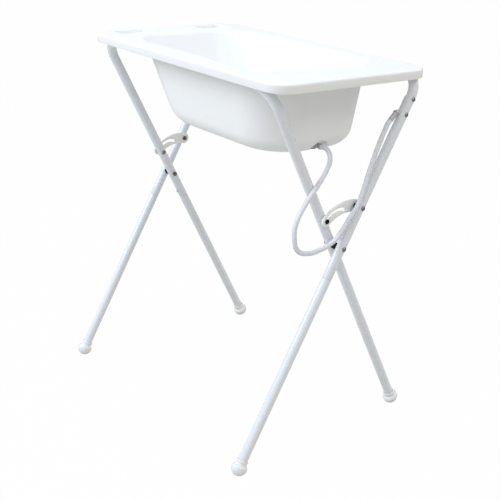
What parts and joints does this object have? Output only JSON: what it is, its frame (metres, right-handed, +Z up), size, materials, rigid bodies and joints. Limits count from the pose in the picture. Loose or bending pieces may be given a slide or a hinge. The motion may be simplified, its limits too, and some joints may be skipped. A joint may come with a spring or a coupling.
{
  "type": "baby bath stand",
  "caption": "Oblong white baby bath with wide rim, drain hose and soap recesses, carried on a folding crossed-leg tube stand with lock links and ball feet.",
  "frame": {"origin": "on the floor, at the middle of the box round the stand and bath without the hose", "axes": "+Z up, +X along the bath towards its drain end, +Y across the bath towards the top of the outer frame"},
  "size_m": [0.736, 0.5592, 0.88],
  "materials": {
    "bath_plastic": "glossy white moulded plastic, slightly warm",
    "white_paint": "glossy white powder coat on steel tube",
    "white_plastic": "white moulded plastic",
    "link_plastic": "white coated flat bar",
    "black_plastic": "black moulded plastic",
    "bolt_steel": "zinc plated steel",
    "spring_steel": "bare spring steel",
    "clear_hose": "translucent soft plastic hose",
    "gasket_rubber": "black rubber"
  },
  "bodies": {
    "outer_frame": {"outer_upper_tube": "white_paint", "outer_lower_leg_left": "white_paint", "outer_lower_leg_right": "white_paint", "outer_foot_left": "white_plastic", "outer_foot_right": "white_plastic", "pivot_bolts": "bolt_steel", "pivot_nuts": "bolt_steel", "outer_pivot_spacers": "black_plastic", "link_pivot_bolts": "bolt_steel", "link_pivot_bushes": "black_plastic", "link_pivot_nuts": "bolt_steel", "hose_hook": "white_plastic", "hose_hook_screws": "bolt_steel", "outer_snap_spring_left": "spring_steel", "outer_snap_spring_right": "spring_steel"},
    "inner_frame": {"inner_upper_tube": "white_paint", "inner_lower_leg_left": "white_paint", "inner_lower_leg_right": "white_paint", "inner_foot_left": "white_plastic", "inner_foot_right": "white_plastic", "inner_pivot_spacers": "black_plastic", "slot_pins": "bolt_steel", "slot_pin_washers": "black_plastic", "slot_pin_caps": "black_plastic", "inner_snap_spring_left": "spring_steel", "inner_snap_spring_right": "spring_steel"},
    "bath": {"tub": "bath_plastic", "drain_outlet": "white_plastic", "drain_gasket": "gasket_rubber", "drain_nut": "white_plastic", "drain_hose": "clear_hose", "hose_plug": "white_plastic"},
    "left_link": {"lock_link_left": "link_plastic"},
    "right_link": {"lock_link_right": "link_plastic"},
    "outer_button_left": {"outer_snap_button_left": "bolt_steel"},
    "outer_button_right": {"outer_snap_button_right": "bolt_steel"},
    "inner_button_left": {"inner_snap_button_left": "bolt_steel"},
    "inner_button_right": {"inner_snap_button_right": "bolt_steel"}
  },
  "joints": [
    {"name": "bath_lift", "type": "slide", "parent": "outer_frame", "child": "bath", "axis": [0, 0, 1], "range_m": [0, 1.1]},
    {"name": "frame_fold", "type": "hinge", "parent": "outer_frame", "child": "inner_frame", "pos_m": [0, 0, 0.494], "axis": [-1, 0, 0], "range_deg": [0, 42]},
    {"name": "left_link_turn", "type": "hinge", "parent": "outer_frame", "child": "left_link", "pos_m": [-0.3338, 0.04811, 0.58166], "axis": [1, 0, 0], "range_deg": [0, 21]},
    {"name": "right_link_turn", "type": "hinge", "parent": "outer_frame", "child": "right_link", "pos_m": [0.3338, 0.04811, 0.58166], "axis": [1, 0, 0], "range_deg": [0, 21]},
    {"name": "outer_button_left_press", "type": "slide", "parent": "outer_frame", "child": "outer_button_left", "axis": [0, -0.8766, 0.4811], "range_m": [0, 0.0029], "stiffness_N_per_m": 3000, "springref_m": -0.001, "deforming": ["outer_snap_spring_left"]},
    {"name": "outer_button_right_press", "type": "slide", "parent": "outer_frame", "child": "outer_button_right", "axis": [0, -0.8766, 0.4811], "range_m": [0, 0.0029], "stiffness_N_per_m": 3000, "springref_m": -0.001, "deforming": ["outer_snap_spring_right"]},
    {"name": "inner_button_left_press", "type": "slide", "parent": "inner_frame", "child": "inner_button_left", "axis": [0, 0.8766, 0.4811], "range_m": [0, 0.0029], "stiffness_N_per_m": 3000, "springref_m": -0.001, "deforming": ["inner_snap_spring_left"]},
    {"name": "inner_button_right_press", "type": "slide", "parent": "inner_frame", "child": "inner_button_right", "axis": [0, 0.8766, 0.4811], "range_m": [0, 0.0029], "stiffness_N_per_m": 3000, "springref_m": -0.001, "deforming": ["inner_snap_spring_right"]}
  ],
  "couplings": [
    {"joint": "frame_fold", "follows": "bath_lift", "rad_per_m": 0.6664},
    {"joint": "left_link_turn", "follows": "bath_lift", "rad_per_m": 0.3332},
    {"joint": "right_link_turn", "follows": "bath_lift", "rad_per_m": 0.3332}
  ]
}
